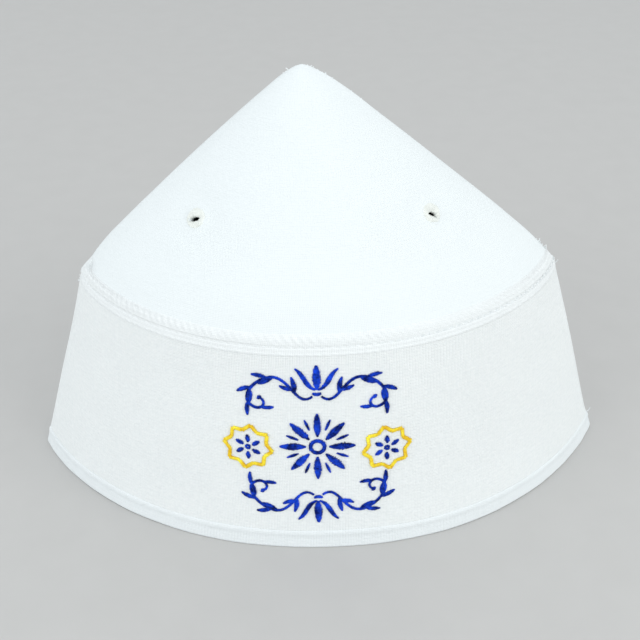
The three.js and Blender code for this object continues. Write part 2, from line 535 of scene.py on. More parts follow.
class Wire:
    """A shader value in an expression: its operators add Math nodes."""

    def __init__(self, graph: "ShaderGraph", socket: bpy.types.NodeSocket) -> None:
        """Wraps an output socket of a graph."""
        self.graph = graph
        self.socket = socket

    def math(self, operation: str, *others: "Wire | float") -> "Wire":
        """A Math node with this value first.

        Args:
            operation: The node's operation.
            others: The values of its other sockets.

        Returns:
            The node's result.
        """
        return self.graph.maths(operation, self, *others)

    def __add__(self, other: "Wire | float") -> "Wire":
        """This value plus another."""
        return self.math("ADD", other)

    __radd__ = __add__

    def __sub__(self, other: "Wire | float") -> "Wire":
        """This value minus another."""
        return self.math("SUBTRACT", other)

    def __rsub__(self, other: float) -> "Wire":
        """A number minus this value."""
        return self.graph.maths("SUBTRACT", other, self)

    def __mul__(self, other: "Wire | float") -> "Wire":
        """This value times another."""
        return self.math("MULTIPLY", other)

    __rmul__ = __mul__

    def __truediv__(self, other: "Wire | float") -> "Wire":
        """This value over another."""
        return self.math("DIVIDE", other)

    def __rtruediv__(self, other: float) -> "Wire":
        """A number over this value."""
        return self.graph.maths("DIVIDE", other, self)

    def __pow__(self, power: float) -> "Wire":
        """This value to a power."""
        return self.math("POWER", power)

    def __gt__(self, limit: float) -> "Wire":
        """1 where this value is over a limit, and 0 elsewhere."""
        return self.math("GREATER_THAN", limit)

    def wave(self) -> "Wire":
        """The size of this value's sine."""
        return self.math("SINE").math("ABSOLUTE")


class ShaderGraph:
    """A material's nodes, built by calls that set a node up and link its sockets."""

    def __init__(self, name: str) -> None:
        """Starts a material with only its output node.

        Args:
            name: The material's name.
        """
        self.material = bpy.data.materials.new(name)
        self.material.use_nodes = True
        self.tree = self.material.node_tree
        self.tree.nodes.clear()
        self.output = self.tree.nodes.new("ShaderNodeOutputMaterial")

    def node(self, kind: str, settings: dict | None = None, inputs: dict | None = None) -> bpy.types.Node:
        """Adds a node of any kind.

        Args:
            kind: The node's type name, after ShaderNode.
            settings: Its own settings, which are made first.
            inputs: Values or wires by socket name or number.

        Returns:
            The node.
        """
        made = self.tree.nodes.new("ShaderNode" + kind)
        for key, value in (settings or {}).items():
            setattr(made, key, value)
        for key, value in (inputs or {}).items():
            if isinstance(value, Wire):
                self.tree.links.new(value.socket, made.inputs[key])
            else:
                made.inputs[key].default_value = value
        return made

    def wire(
        self,
        kind: str,
        settings: dict | None = None,
        inputs: dict | None = None,
        output: str | int = 0,
    ) -> Wire:
        """Adds a node and gives one of its outputs, the first unless another is named."""
        return Wire(self, self.node(kind, settings, inputs).outputs[output])

    def maths(self, operation: str, *values: Wire | float) -> Wire:
        """Adds a Math node on the values in their order."""
        return self.wire("Math", {"operation": operation}, dict(enumerate(values)))

    def cloth_coordinates(self) -> tuple[Wire, Wire, Wire]:
        """Reads the piece's cloth coordinates.

        Returns:
            Them as a vector, and the distance round the cap and the distance up it.
        """
        uv = self.wire("UVMap", {"uv_map": UV_NAME})
        split = self.node("SeparateXYZ", inputs={0: uv})
        return uv, Wire(self, split.outputs[0]), Wire(self, split.outputs[1])

    def noise(
        self,
        vector: Wire,
        scale: float,
        detail: float = 2.0,
        along: Triple | None = None,
    ) -> Wire:
        """Noise between 0 and 1.

        Args:
            vector: Where it is read.
            scale: Its fineness, in lumps for each metre.
            detail: How many finer layers it has.
            along: Factors of the vector's axes, under 1 for lumps drawn out along one.

        Returns:
            The noise.
        """
        if along:
            vector = self.wire("VectorMath", {"operation": "MULTIPLY"}, {0: vector, 1: along})
        return self.wire("TexNoise", {}, {"Vector": vector, "Scale": scale, "Detail": detail})

    def mixed(self, share: Wire, low: Colour, high: Colour) -> Wire:
        """A colour between two others by a share; sockets 6 and 7 and output 2 are the colours."""
        inputs = {"Factor": share, 6: (*low, 1), 7: (*high, 1)}
        return self.wire("Mix", {"data_type": "RGBA"}, inputs, 2)

    def surface(self, **inputs: Wire | float | Colour) -> bpy.types.Material:
        """Ends the graph in a Principled surface.

        Args:
            inputs: Values or wires by the socket's name in small letters with underscores.

        Returns:
            The finished material.
        """
        named = {key.replace("_", " ").title(): value for key, value in inputs.items()}
        shader = self.node("BsdfPrincipled", {}, named)
        self.tree.links.new(shader.outputs[0], self.output.inputs["Surface"])
        return self.material


# Finishes


@dataclass(frozen=True)
class CottonFinish:
    """Matt white cotton in plain weave.

    Attributes:
        name: The material's name.
        light: Colour of the thread tops, with their painted highlight, and of the lighter patches.
        shade: Colour between the threads, as painted shade, and in the duller patches.
        pitch: Distance from thread to thread.
        relief: Height of the weave.
        lattice: How strongly every second thread stands out.
        dashes: How strongly short stretches of thicker weft stand out in tone.
        wander: How far the threads stray from straight lines.
    """

    name: str
    light: Colour
    shade: Colour
    pitch: float = 0.6 * MM
    relief: float = 0.12 * MM
    lattice: float = 0.3
    dashes: float = 0.3
    wander: float = 0.35 * MM

    def material(self) -> bpy.types.Material:
        """Builds the woven material.

        Where the warp lies on top the height is |sin(pi a)| ^ 0.6 |sin(pi b)| ^ 1.4, with a and b
        the thread counts round and up the cap, and where the weft does the powers change places.
        The lattice is the product of such sines of half the counts. Slubs along both ways, dashes
        of thicker weft and a broad mottle make the threads uneven. The relief and the tone are sums
        of these in fixed measures. In the tone, the height and the lattice are painted light: they
        lighten the thread tops as a painted highlight and darken the gaps between threads as painted
        shade.

        Returns:
            The material.
        """
        graph = ShaderGraph(self.name)
        uv, across, up = graph.cloth_coordinates()
        wander = (graph.noise(uv, scale=160.0) - 0.5) * self.wander
        warp = (across + wander) * (math.pi / self.pitch)
        weft = (up + wander) * (math.pi / self.pitch)
        warp_top, weft_top = warp.wave(), weft.wave()
        over = warp.math("SINE") * weft.math("SINE") > 0.0
        warp_up = warp_top**0.6 * weft_top**1.4
        weft_up = warp_top**1.4 * weft_top**0.6
        height = over * warp_up + (1 - over) * weft_up
        slub_warp = graph.noise(uv, scale=1 / self.pitch, detail=1.0, along=(1.0, 0.03, 1.0))
        slub_weft = graph.noise(uv, scale=1 / self.pitch, detail=1.0, along=(0.03, 1.0, 1.0))
        slub = (slub_warp + slub_weft) * 0.5
        lattice = (warp * 0.5).wave() * (weft * 0.5).wave()
        relief = height * (0.55 + slub * 0.9) + lattice * self.lattice
        mottle = graph.noise(uv, scale=45.0, detail=3.0)
        dash = graph.noise(uv, scale=900.0, detail=1.0, along=(0.6, 1.0, 1.0)) - 0.5
        # Painted shade and highlight: the height and lattice terms darken the tone between the threads and
        # lighten the thread tops; slub, mottle and dash are the cloth's own uneven tone.
        light = height * 0.4 + slub * 0.35 + mottle * 0.3 + lattice * 0.1 + dash * self.dashes
        normal = graph.wire("Bump", {}, {"Strength": 1.0, "Distance": self.relief, "Height": relief})
        return graph.surface(
            base_color=graph.mixed(light, self.shade, self.light),
            roughness=0.98 - height * 0.12,
            sheen_weight=0.12,
            sheen_roughness=0.5,
            normal=normal,
        )


@dataclass(frozen=True)
class ThreadFinish:
    """Spun thread with a twist.

    Attributes:
        name: The material's name.
        dark: Colour of its most shaded parts, the deepest painted shade.
        bright: Colour of its brightest parts, the strongest painted sheen.
        gloss: Colour of its shine.
        roughness: How dull the thread is.
        twist: Length of one turn of the twist.
        relief: Height of the twist.
    """

    name: str
    dark: Colour
    bright: Colour
    gloss: Colour
    roughness: float
    twist: float = 0.9 * MM
    relief: float = 0.05 * MM

    def material(self) -> bpy.types.Material:
        """Builds the twisted material.

        Slanted ridges run along and round the thread. Its lightness differs from thread to thread
        and in broad patches over the piece, as the painted sheen and painted shade of a glossy thread,
        and the ridges add a little painted highlight on their tops.

        Returns:
            The material.
        """
        graph = ShaderGraph(self.name)
        uv, along, around = graph.cloth_coordinates()
        ridge = ((along / self.twist + around / MM) * math.pi).wave()
        # Painted sheen and painted shade: streaks along the threads and broad patches over the piece
        # lighten and darken the colour as if the thread caught the light or turned away from it.
        sheen_streaks = graph.noise(uv, scale=500.0, detail=1.0, along=(1.0, 0.0, 0.0))
        sheen_patches = graph.noise(graph.wire("TexCoord", output="Object"), scale=330.0)
        # The ridge term paints a highlight on the tops of the twist's ridges.
        light = (sheen_streaks - 0.5) * 1.5 + (sheen_patches - 0.5) * 2.2 + ridge * 0.25 + 0.26
        normal = graph.wire("Bump", {}, {"Strength": 0.7, "Distance": self.relief, "Height": ridge})
        return graph.surface(
            base_color=graph.mixed(light, self.dark, self.bright),
            roughness=self.roughness + sheen_streaks * 0.12,
            specular_tint=(*self.gloss, 1),
            normal=normal,
        )


class Look(Enum):
    """The cap's finishes, each a pair: the name of a material slot, which nothing reads, and the finish.
    """

    # Each cotton's shade colour is also the painted shade between its threads, and its light colour the
    # painted highlight on their tops.
    HEM = ("hem_cotton", CottonFinish("hem cotton", (0.85, 0.885, 0.895), (0.73, 0.78, 0.795)))
    BAND = (
        "band_cotton",
        CottonFinish("band cotton", (0.875, 0.9, 0.895), (0.755, 0.795, 0.8), lattice=0.45, dashes=0.9),
    )
    WELT = (
        "welt_cotton",
        CottonFinish("welt cotton", (0.885, 0.915, 0.915), (0.765, 0.8, 0.81), lattice=0.1),
    )
    CROWN = (
        "crown_cotton",
        CottonFinish("crown cotton", (0.81, 0.85, 0.86), (0.74, 0.79, 0.8), relief=0.07 * MM),
    )
    # Each thread's dark and bright colours are the ends of its painted shade and painted sheen.
    SEWING = (
        "welt_cotton",
        ThreadFinish("sewing thread", (0.7, 0.74, 0.75), (0.88, 0.91, 0.915), (1.0, 1.0, 1.0), 0.6),
    )
    BINDING = (
        "eyelet_thread",
        ThreadFinish("binding thread", (0.7, 0.725, 0.69), (0.84, 0.865, 0.83), (1.0, 1.0, 1.0), 0.6),
    )
    BLUE = (
        "blue_thread",
        ThreadFinish("blue thread", (0.001, 0.003, 0.06), (0.012, 0.07, 0.72), (0.06, 0.15, 0.8), 0.4),
    )
    YELLOW = (
        "yellow_thread",
        ThreadFinish("yellow thread", (0.72, 0.42, 0.004), (1.0, 0.93, 0.07), (1.0, 0.9, 0.5), 0.38),
    )

    @cached_property
    def material(self) -> bpy.types.Material:
        """The finish's material, built when it is first asked for."""
        return self.value[1].material()


# Pieces of cloth


def place_piece(mesh: bpy.types.Mesh, look: Look, *nodes: str) -> None:
    """Puts a finished mesh in the scene as a piece of the cap.

    Args:
        mesh: The piece's mesh, which gives its name.
        look: Its finish.
        nodes: The solids that it stands for.
    """
    piece = bpy.data.objects.new(mesh.name, mesh)
    bpy.context.scene.collection.objects.link(piece)
    mesh.materials.append(look.material)
    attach(piece, BODY)
    if nodes:
        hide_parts(*nodes)
    log.info("%s: %d faces", mesh.name, len(mesh.polygons))


@dataclass
class ClothRing:
    """A closed loop of cloth round the whole cap.

    Attributes:
        shape: The cap's form.
        columns: Spaces round one half.
    """

    shape: CapShape
    columns: int = 240

    def half(self, side: Side, level: Array, wall: Array, proud: Array) -> tuple[Array, Array]:
        """One half of the ring as a grid.

        Args:
            side: The half of the cap.
            level: The levels, a row each, with one column or one for each angle.
            wall: How far inside the outer face each row lies.
            proud: How far each grid point stands out.

        Returns:
            The grid and its cloth coordinates, measured round from the middle of the half.
        """
        angle = self.shape.angles(side, self.columns)
        grid = self.shape.face(angle, level, proud, wall[:, None])
        across = travelled(grid)
        across -= across[:, self.columns // 2, None]
        up = travelled(grid[:, self.columns // 2])[:, None]
        return grid, np.stack(np.broadcast_arrays(across, up), -1)


def wall_profile(low: float, high: float, wall: float, corner: float, rows: int) -> tuple[Array, Array]:
    """Closed profile of a wall of cloth with rounded edges.

    It runs up the outer face, over the upper edge on two quarter circles, down the inner face and
    back under the lower edge.

    Args:
        low: Height of its lower edge, along the cap's face.
        high: Height of its upper edge.
        wall: Its thickness.
        corner: Radius of its corners.
        rows: Rows of the outer face.

    Returns:
        Heights, and depths behind the outer face.
    """
    corner_rows, inner_rows = 4, 12
    turn = np.linspace(0, math.pi / 2, corner_rows + 1)[1:]
    rise, depth = corner * np.sin(turn), corner * (1 - np.cos(turn))
    up = np.linspace(low + corner, high - corner, rows)
    down = np.linspace(high - corner, low + corner, inner_rows)
    over, under = high - corner + rise, low + corner - rise
    heights = [up, over, over[::-1], down, under, under[::-1], up[:1]]
    depths = [0 * up, depth, wall - depth[::-1], 0 * down + wall, wall - depth, depth[::-1], 0 * up[:1]]
    return np.concatenate(heights), np.concatenate(depths)


@dataclass
class Hem:
    """The narrow folded strip along the rim.

    Attributes:
        shape: The cap's form.
        height: Its height.
        wall: Its thickness.
        corner: Radius of its folds.
        proud: How far it stands out of the cap's face.
        swell: How far a ridge under its upper fold swells out further.
        swell_below: How far the ridge's middle lies under the fold.
        swell_reach: Half the ridge's width.
        ripple: Height of the ripples along it.
        rows: Rows of its outer face.
    """

    shape: CapShape
    height: float = 8 * MM
    wall: float = 2.3 * MM
    corner: float = 0.6 * MM
    proud: float = 0.08 * MM
    swell: float = 0.34 * MM
    swell_below: float = 1.5 * MM
    swell_reach: float = 1.9 * MM
    ripple: float = 0.1 * MM
    rows: int = 20

    def build(self) -> None:
        """Makes the strip; its ripples are the product of two sines of the angle."""
        ring = ClothRing(self.shape)
        height, depth = wall_profile(0.0, self.height, self.wall, self.corner, self.rows)
        ridge = bump((height - self.height + self.swell_below) / self.swell_reach)
        fold = self.swell * ridge + self.proud
        patches = Patchwork()
        for side in Side:
            angle = self.shape.angles(side, ring.columns)
            ripple = self.ripple * np.sin(angle * 23) * np.sin(angle * 7 + 1)
            proud = (fold[:, None] + ripple) * (depth < self.corner)[:, None]
            patches.add(*ring.half(side, height[:, None] / self.shape.band_slant, depth, proud))
        place_piece(patches.mesh("hem_strip"), Look.HEM, "hem")


@dataclass
class Band:
    """The stiff tapered side wall of the cap.

    Attributes:
        shape: The cap's form.
        bottom: Height of its lower edge, which lies against the hem's.
        below_seam: How far under the seam line it ends, behind the welt.
        wall: Its thickness.
        corner: Radius of its edges.
        rows: Rows of its outer face.
    """

    shape: CapShape
    bottom: float = 7.5 * MM
    below_seam: float = 1.5 * MM
    wall: float = 2.2 * MM
    corner: float = 0.3 * MM
    rows: int = 90

    def build(self) -> None:
        """Makes the wall."""
        ring, slant = ClothRing(self.shape), self.shape.band_slant
        top = slant - self.below_seam
        height, depth = wall_profile(self.bottom, top, self.wall, self.corner, self.rows)
        patches = Patchwork()
        for side in Side:
            patches.add(*ring.half(side, height[:, None] / slant, depth, np.zeros((1, 1))))
        place_piece(patches.mesh("band_cloth"), Look.BAND, "band")


@dataclass(frozen=True)
class Roll:
    """A ridge or a groove that runs along the welt.

    Attributes:
        middle: Height of its middle above the seam line.
        reach: Half its width.
        proud: How far it stands out, or in where negative.
        swing: How much the stitches add to that and take from it in turn.
    """

    middle: float
    reach: float
    proud: float
    swing: float

    def relief(self, height: Array, beat: Array) -> Array:
        """How far it stands out: a smooth hump across it, as high as the stitches' beat makes it."""
        return (self.proud + self.swing * beat) * bump((height - self.middle) / self.reach)


@dataclass
class Welt:
    """The seam of band and crown: a rolled ridge, a stitched groove and the band's folded edge.

    Attributes:
        shape: The cap's form.
        below: How far it reaches under the seam line.
        above: How far it reaches over the seam line.
        wall: Its thickness.
        pitch: Distance from stitch to stitch.
        slant: How far a pull of the stitches moves along the seam, as a share of the way up.
        ridge: The rolled ridge.
        groove: The stitched groove.
        edge: The band's folded edge.
        sunk: How far its two borders lie behind the cap's face.
        rise: How far the plain cloth between them stands out from there.
        rise_reach: The width in which it does.
        calm: Sine of the angle at which the stitches' pull begins to fade towards a crease.
        columns: Spaces round one half.
        rows: Rows of its outer face.
    """

    shape: CapShape
    below: float = 3.7 * MM
    above: float = 4.2 * MM
    wall: float = 2.6 * MM
    pitch: float = 2.9 * MM
    slant: float = 0.9
    ridge: Roll = Roll(2.5 * MM, 1.9 * MM, 0.4 * MM, 0.2 * MM)
    groove: Roll = Roll(0.1 * MM, 1.0 * MM, -0.47 * MM, -0.22 * MM)
    edge: Roll = Roll(-2.6 * MM, 0.9 * MM, 0.22 * MM, 0.1 * MM)
    sunk: float = 0.22 * MM
    rise: float = 0.3 * MM
    rise_reach: float = 0.6 * MM
    calm: float = 0.08
    columns: int = 560
    rows: int = 48

    def beat(self, height: Array, length: Array, angle: Array) -> Array:
        """The stitches' pull and release: a slanted cosine in uneven measure, like a rope's lay.

        Slow sines of the length, of 7, 11 and 19 mm to the radian, make it uneven. It fades out at
        the creases, where the halves meet.

        Args:
            height: Distance above the seam line.
            length: Distance round the cap.
            angle: Angle round the plan.

        Returns:
            The pull, from -1 to 1.
        """
        stray = 0.9 * np.sin(length / (11 * MM))
        turn = math.tau * (length + self.slant * height) / self.pitch + stray
        measure = 0.7 + 0.3 * np.sin(length / (7 * MM) + 2 * np.sin(length / (19 * MM)))
        return np.cos(turn) * measure * np.clip(np.abs(np.sin(angle)) / self.calm, 0, 1)

    def proud(self, height: Array, length: Array, angle: Array) -> Array:
        """How far the welt stands out of the face: its plain cloth, and three rolls on it.

        The groove is half as deep where the seam sags most, and all the relief is pressed down
        towards the creases.

        Args:
            height: Distance above the seam line.
            length: Distance round the cap.
            angle: Angle round the plan.

        Returns:
            The distance along the normal.
        """
        beat = self.beat(height, length, angle)
        groove = self.groove.relief(height, beat) * (1 - 0.5 * self.shape.sagging(angle))
        relief = self.ridge.relief(height, beat) + groove + self.edge.relief(height, beat)
        inside = np.minimum(height + self.below, self.above - height)
        plain = self.rise * np.clip(inside / self.rise_reach, 0, 1) - self.sunk
        return plain + self.shape.let_out(angle) * relief

    def build(self) -> None:
        """Makes the welt, up its outer face and down a plain inner one, and its stitches."""
        ring = ClothRing(self.shape, self.columns)
        front = np.linspace(-self.below, self.above, self.rows)
        height = np.concatenate([front, front[[-1, self.rows // 2, 0, 0]]])[:, None]
        depth = np.concatenate([0 * front, np.full(3, self.wall), [0]])
        patches = Patchwork()
        for side in Side:
            angle = self.shape.angles(side, ring.columns)
            length = travelled(self.shape.bare(angle, 1.0))
            proud = self.proud(height, length, angle) * (depth == 0)[:, None]
            patches.add(*ring.half(side, self.shape.seam_level(height, angle), depth, proud))
        place_piece(patches.mesh("seam_welt_roll"), Look.WELT, "seam_welt")
        place_piece(StitchRow(self.shape, self.pitch).mesh("seam_stitches"), Look.SEWING)


# Stitches along the seam


@dataclass
class StitchRow:
    """The running stitches along the seam line.

    Each is a short thread on a low arch between its two holes, slanted a little.

    Attributes:
        shape: The cap's form.
        pitch: Distance from stitch to stitch.
        cover: Share of the pitch that a stitch spans.
        radius: Radius of the thread.
        sunk: How far its ends lie below the face.
        arch: How high it stands above its ends.
        slant: How far its far end lies above its near one.
        place_spread: How unevenly the stitches lie along the seam.
        length_spread: How unevenly long they are, as a share.
        lift_spread: How unevenly high they lie.
        flat: Share of the thread's thickness that is left.
        columns: Spaces round one half, along which the row is measured.
    """

    shape: CapShape
    pitch: float
    cover: float = 0.74
    radius: float = 0.24 * MM
    sunk: float = 0.56 * MM
    arch: float = 0.32 * MM
    slant: float = 0.5 * MM
    place_spread: float = 0.1 * MM
    length_spread: float = 0.07
    lift_spread: float = 0.08 * MM
    flat: float = 0.8
    columns: int = 960

    def mesh(self, name: str) -> bpy.types.Mesh:
        """Builds the row round both halves.

        Args:
            name: The mesh's name.

        Returns:
            The mesh.
        """
        patches = Patchwork()
        rng = np.random.default_rng(RNG_SEED)
        share = np.linspace(-1, 1, 8)
        for side in Side:
            angle = self.shape.angles(side, self.columns)
            length = travelled(self.shape.bare(angle, 1.0))
            count = round(length[-1] / self.pitch)
            middle = middles(length[-1], count) + rng.normal(0, self.place_spread, count)
            reach = self.pitch * self.cover / 2 * (1 + rng.normal(0, self.length_spread, count))
            angles = np.interp(middle[:, None] + reach[:, None] * share, length, angle)
            lift = self.slant * share / 2 + rng.normal(0, self.lift_spread, (count, 1))
            level = self.shape.seam_level(lift, angles)
            proud = self.arch * (1 - share**2) - self.sunk * self.shape.let_out(angles)
            path, normal = self.shape.face(angles, level, proud), self.shape.normal(angles, level)
            patches.add(*tubes(path, normal, self.radius * np.sqrt(1 - share**6), self.flat, sides=7))
        return patches.mesh(name)


# Vents and the crown round them


@dataclass(frozen=True)
class Slit:
    """The opening that a vent's binding leaves.

    Attributes:
        long: Half its length.
        wide: Half its width.
        tilt: Its turn to the left, in degrees.
        aside: How far its middle lies to the right of the binding's.
        above: How far its middle lies above the binding's.
        arch: How far its middle is drawn up from its ends.
    """

    long: float = 1.8 * MM
    wide: float = 0.6 * MM
    tilt: float = 0.0
    aside: float = 0.0
    above: float = -0.3 * MM
    arch: float = 0.0

    def edge(self, ring: Array) -> Array:
        """The slit's edge: an ellipse, arched by the cosine's square and turned.

        Args:
            ring: Angles round the binding.

        Returns:
            Offsets to the right and up, on the first axis.
        """
        tilt = math.radians(self.tilt)
        along = self.long * np.cos(ring - tilt)
        across = self.wide * np.sin(ring - tilt) + self.arch * (0.5 - np.cos(ring - tilt) ** 2)
        right = self.aside + along * math.cos(tilt) - across * math.sin(tilt)
        up = self.above + along * math.sin(tilt) + across * math.cos(tilt)
        return np.stack([right, up])


SLITS = {
    "eyelet_front_left": Slit(
        long=2.1 * MM,
        wide=0.78 * MM,
        tilt=22,
        aside=-0.6 * MM,
        above=-0.6 * MM,
        arch=0.1 * MM,
    ),
    "eyelet_front_right": Slit(
        long=1.7 * MM,
        wide=0.72 * MM,
        tilt=-42,
        aside=0.2 * MM,
        above=-0.8 * MM,
        arch=0.6 * MM,
    ),
}


@dataclass(frozen=True)
class Vent:
    """A vent eyelet's place in the crown.

    Attributes:
        node: The solid that it follows.
        side: The half of the cap that it lies in.
        angle: Its angle round the plan.
        level: Its level.
    """

    node: str
    side: Side
    angle: float
    level: float

    @property
    def at(self) -> tuple[Array, Array]:
        """Its angle and level, as the form's formulas take them."""
        return np.array(self.angle), np.array(self.level)

    @classmethod
    def find(cls, shape: CapShape, node: str) -> "Vent":
        """Finds the point of the cap's face nearest to a solid's middle.

        Args:
            shape: The cap's form.
            node: The solid's name.

        Returns:
            The vent.
        """
        low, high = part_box(node)
        middle = (np.array(low) + np.array(high)) / 2
        side = Side.BACK if middle[1] > 0 else Side.FRONT
        lowest, highest = 1.1, 1.7
        angle = np.linspace(0, math.pi, 721)[:, None] + side.value
        level = np.linspace(lowest, highest, 601)[None]
        away = np.linalg.norm(shape.bare(angle, level) - middle, axis=-1)
        row, column = np.unravel_index(np.argmin(away), away.shape)
        return cls(node, side, float(angle[row, 0]), float(level[0, column]))


@dataclass
class Crown:
    """The pointed top of the cap, with a hole for each vent.

    Attributes:
        shape: The cap's form.
        vents: The vents in it.
        wall: Its thickness.
        above_seam: How far over the seam line it starts, behind the welt.
        columns: Spaces round one half.
        rows: Spaces from its lower edge to its peak.
        hole: Radius of a hole.
        block: Half the height and half the width of a hole, in faces of the grid.
        reach: How many holes wide the grid is bent round a hole.
        raised: How far a binding draws the cloth up at its middle.
        raised_reach: The distance within which it does.
        drawn: How far it draws the cloth down in a ring further out.
        drawn_radius: Radius of that ring.
        drawn_reach: Half the ring's width.
    """

    shape: CapShape
    vents: list[Vent]
    wall: float = 1.8 * MM
    above_seam: float = 2.2 * MM
    columns: int = 170
    rows: int = 120
    hole: float = 2.6 * MM
    block: tuple[int, int] = (3, 2)
    reach: float = 3.2
    raised: float = 0.2 * MM
    raised_reach: float = 6 * MM
    drawn: float = 0.25 * MM
    drawn_radius: float = 7 * MM
    drawn_reach: float = 5 * MM

    def build(self) -> None:
        """Makes the shell: an outer and an inner face, joined at the lower edge and in the holes."""
        start = 1 + self.above_seam / self.shape.crown_slant
        patches = Patchwork()
        for side in Side:
            level, angle = np.meshgrid(
                np.linspace(start, 2, self.rows + 1),
                self.shape.angles(side, self.columns),
                indexing="ij",
            )
            kept = np.ones((self.rows, self.columns), bool)
            vents = [vent for vent in self.vents if vent.side is side]
            edges: list[int | tuple[Indices, Indices]] = [0]
            for vent in vents:
                angle, level, rows, columns = self.opened(angle, level, vent)
                kept[rows, columns] = False
                edges.append(self.rim(rows, columns))
            pull = self.pull(angle, level, vents)
            outer = self.shape.face(angle, level, pull)
            inner = self.shape.face(angle, level, pull, self.wall)
            uv = self.cloth_coordinates(angle, level, side)
            patches.add(outer, uv, kept)
            patches.add(inner[:, ::-1], uv[:, ::-1], kept[:, ::-1])
            for edge in edges:
                patches.add(np.stack([inner[edge], outer[edge]]), np.stack([uv[edge], uv[edge]]))
        place_piece(patches.mesh("crown_cloth"), Look.CROWN, "crown")

    def cloth_coordinates(self, angle: Array, level: Array, side: Side) -> Array:
        """Distances round from the middle of the half and up from the seam.

        Every level of the crown is the seam's plan made smaller, so a distance round it is the
        seam's times the share of the plan that is left.

        Args:
            angle: Angles round the plan.
            level: Levels up the crown.
            side: The half of the cap.

        Returns:
            The coordinates, with the last axis round and up.
        """
        middle = 500
        angles = self.shape.angles(side, 2 * middle)
        seam = travelled(self.shape.bare(angles, 1.0))
        levels = np.linspace(1, 2, 200)
        slope = travelled(self.shape.bare(angles[middle], levels))
        across = (np.interp(angle, angles, seam) - seam[middle]) * (2 - level)
        return np.stack([across, np.interp(level, levels, slope)], -1)

    def pull(self, angle: Array, level: Array, vents: Sequence[Vent]) -> Array:
        """How far the bound vents draw the cloth up at their edges and down round about.

        Args:
            angle: Angles round the plan.
            level: Levels up the crown.
            vents: The vents on that half.

        Returns:
            Distances along the normals.
        """
        total = np.zeros(angle.shape)
        for vent in vents:
            away = np.linalg.norm(self.shape.bare(angle, level) - self.shape.bare(*vent.at), axis=-1)
            total += self.raised * bump(away / self.raised_reach)
            total -= self.drawn * bump((away - self.drawn_radius) / self.drawn_reach)
        return total

    def opened(self, angle: Array, level: Array, vent: Vent) -> tuple[Array, Array, slice, slice]:
        """Rounds the square rings of the grid about a vent into circles.

        With u and v the offsets in half blocks, each point moves to (u, v) max(|u|, |v|) over its
        distance, so that the ring at 1 is the hole's circle; further out the move fades away.

        Args:
            angle: The grid's angles.
            level: The grid's levels.
            vent: The vent.

        Returns:
            The new angles and levels, and the rows and columns of faces inside the hole.
        """
        row = int(np.argmin(np.abs(level[:, 0] - vent.level)))
        column = int(np.argmin(np.abs(angle[row] - vent.angle)))
        half_rows, half_columns = self.block
        v, u = np.meshgrid(
            (np.arange(level.shape[0]) - row) / half_rows,
            (np.arange(level.shape[1]) - column) / half_columns,
            indexing="ij",
        )
        ring = np.maximum(np.abs(u), np.abs(v))
        away = np.where(ring > 0, np.hypot(u, v), 1)
        steps = SLOPE_STEP * np.array([[0, 1, 0], [0, 0, 1]])
        near = self.shape.bare(vent.angle + steps[0], vent.level + steps[1])
        round_size, up_size = np.linalg.norm(near[1:] - near[0], axis=-1) / SLOPE_STEP
        circle_angle = vent.angle + self.hole / round_size * u / away * ring
        circle_level = vent.level + self.hole / up_size * v / away * ring
        share = smooth_step(np.clip((self.reach - ring) / (self.reach - 1), 0, 1))
        rows = slice(row - half_rows, row + half_rows)
        columns = slice(column - half_columns, column + half_columns)
        return between(angle, circle_angle, share), between(level, circle_level, share), rows, columns

    @staticmethod
    def rim(rows: slice, columns: slice) -> tuple[Indices, Indices]:
        """Finds the points of the grid round a hole, once round it clockwise and closed.

        Args:
            rows: Rows of the faces in the hole.
            columns: Their columns.

        Returns:
            The points' rows and columns.
        """
        across = np.arange(columns.start, columns.stop)
        up = np.arange(rows.start, rows.stop)
        row = [0 * across + rows.start, up, 0 * across + rows.stop, up[::-1] + 1, [rows.start]]
        column = [across, 0 * up + columns.stop, across[::-1] + 1, 0 * up + columns.start, [columns.start]]
        return np.concatenate(row)[::-1], np.concatenate(column)[::-1]


